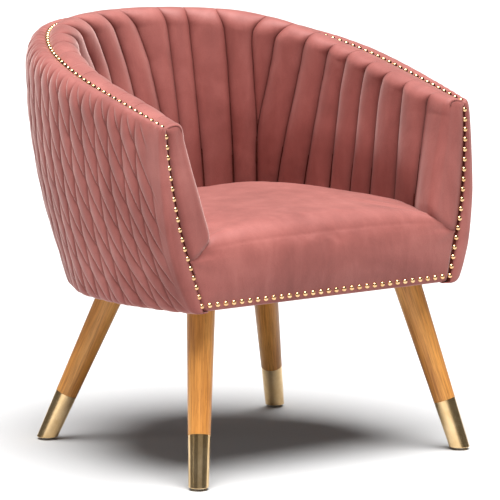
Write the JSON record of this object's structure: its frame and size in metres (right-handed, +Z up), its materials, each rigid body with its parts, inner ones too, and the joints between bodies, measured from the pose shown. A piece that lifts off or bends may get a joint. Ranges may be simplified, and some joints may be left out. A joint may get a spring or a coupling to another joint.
{
  "type": "upholstered armchair",
  "caption": "Low-backed upholstered tub armchair with quilted outside, channelled inside, brass nail trim and splayed turned wooden legs with brass ferrules.",
  "frame": {"origin": "floor level, at the centre of the whole chair's bounding box in plan", "axes": "+Z up; the chair faces -Y; +X is the sitter's left"},
  "size_m": [0.74, 0.7208, 0.7777],
  "materials": {
    "velvet": "cut-pile velvet",
    "lining_fabric": "non-woven cloth",
    "leg_wood": "satin lacquer",
    "frame_wood": "planed",
    "plywood": "sanded",
    "ferrule_brass": "brushed",
    "nail_brass": "polished",
    "steel_hardware": "zinc plated",
    "glide_plastic": "moulded nylon"
  },
  "bodies": {
    "root": {"arm_board_left": "plywood", "arm_board_right": "plywood", "arm_front_pad_left": "velvet", "arm_front_pad_right": "velvet", "arm_rib_left": "plywood", "arm_rib_right": "plywood", "back_rib_center": "plywood", "back_rib_left": "plywood", "back_rib_right": "plywood", "corner_block_front_left": "frame_wood", "corner_block_front_right": "frame_wood", "corner_block_rear_left": "frame_wood", "corner_block_rear_right": "frame_wood", "dust_cover": "lining_fabric", "ferrule_front_left": "ferrule_brass", "ferrule_front_right": "ferrule_brass", "ferrule_rear_left": "ferrule_brass", "ferrule_rear_right": "ferrule_brass", "frame_screws": "steel_hardware", "glide_front_left": "glide_plastic", "glide_front_right": "glide_plastic", "glide_rear_left": "glide_plastic", "glide_rear_right": "glide_plastic", "hanger_bolts": "steel_hardware", "inner_back_pad": "velvet", "leg_front_left": "leg_wood", "leg_front_right": "leg_wood", "leg_rear_left": "leg_wood", "leg_rear_right": "leg_wood", "nail_trim_post_left": "nail_brass", "nail_trim_post_right": "nail_brass", "nail_trim_rim": "nail_brass", "nail_trim_seat_front": "nail_brass", "outer_quilted_cover": "velvet", "seat_cushion": "velvet", "seat_front_pad": "velvet", "seat_rail_front": "frame_wood", "seat_rail_left": "frame_wood", "seat_rail_rear": "frame_wood", "seat_rail_right": "frame_wood", "seat_springs": "steel_hardware", "shell_panel_back": "plywood", "shell_panel_left": "plywood", "shell_panel_right": "plywood", "side_rib_left": "plywood", "side_rib_right": "plywood", "spring_clips": "steel_hardware", "spring_insulator_pad": "lining_fabric", "threaded_inserts": "steel_hardware", "top_rail_back": "plywood", "top_rail_left": "plywood", "top_rail_right": "plywood"}
  },
  "joints": []
}
